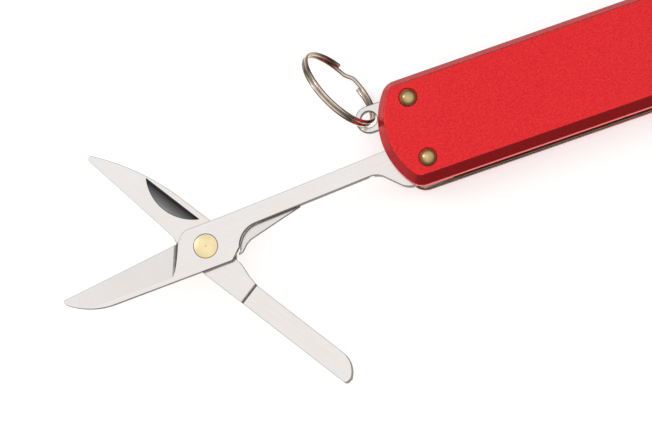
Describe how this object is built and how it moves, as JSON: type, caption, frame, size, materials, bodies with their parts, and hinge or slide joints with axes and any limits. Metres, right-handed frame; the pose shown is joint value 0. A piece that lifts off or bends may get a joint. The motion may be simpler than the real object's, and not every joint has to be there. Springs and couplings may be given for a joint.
{
  "type": "pocket multi tool",
  "caption": "Flat pocket multi tool: bevelled metal handle with fold-out sprung scissors, a folding blade and a split key ring on a lug.",
  "frame": {"origin": "centre of the handle's flat back face", "axes": "+X along the handle, away from the scissors; +Y across the handle, towards the ring lug; +Z out of the front scale"},
  "size_m": [0.1416, 0.055, 0.0153],
  "materials": {
    "red_anodised": "bead-blasted red anodised aluminium",
    "tool_steel": "satin ground stainless steel",
    "liner_steel": "rolled stainless steel",
    "ring_steel": "bright nickel plate",
    "rivet_brass": "polished antique brass",
    "pin_brass": "satin turned brass",
    "bronze": "plain bronze"
  },
  "bodies": {
    "handle": {"front_scale": "red_anodised", "back_scale": "red_anodised", "front_liner": "liner_steel", "back_liner": "liner_steel", "spring_plate": "liner_steel", "rivets": "rivet_brass", "rivet_caps": "rivet_brass", "scissors_bush": "bronze", "knife_bush": "bronze", "scissors_washers": "bronze", "knife_washers": "bronze", "ring_lug": "tool_steel", "lug_spacers": "liner_steel"},
    "scissors": {"scissors_arm": "tool_steel", "scissors_pin": "pin_brass", "pin_burr": "pin_brass", "scissors_spring": "tool_steel", "spring_pegs": "liner_steel"},
    "lever": {"scissors_lever": "tool_steel"},
    "knife": {"knife_blade": "tool_steel"},
    "ring": {"split_ring": "ring_steel"}
  },
  "joints": [
    {"name": "scissors_fold", "type": "hinge", "parent": "handle", "child": "scissors", "pos_m": [-0.0343, -0.00533, 0.00525], "axis": [0, 0, 1], "range_deg": [0, 178.4]},
    {"name": "scissors_squeeze", "type": "hinge", "parent": "scissors", "child": "lever", "pos_m": [-0.07469, -0.00643, 0.00525], "axis": [0, 0, 1], "range_deg": [0, 59.5], "deforming": ["scissors_spring"]},
    {"name": "knife_fold", "type": "hinge", "parent": "handle", "child": "knife", "pos_m": [0.0343, 0.00533, 0.00525], "axis": [0, 0, 1], "range_deg": [-180, 0]},
    {"name": "ring_swing", "type": "hinge", "parent": "handle", "child": "ring", "pos_m": [-0.04195, 0.00493, 0.00525], "axis": [0, 0, 1], "range_deg": [-10, 60]}
  ],
  "couplings": [
    {"joint": "scissors_squeeze", "follows": "scissors_fold", "ratio": 0.3335}
  ]
}
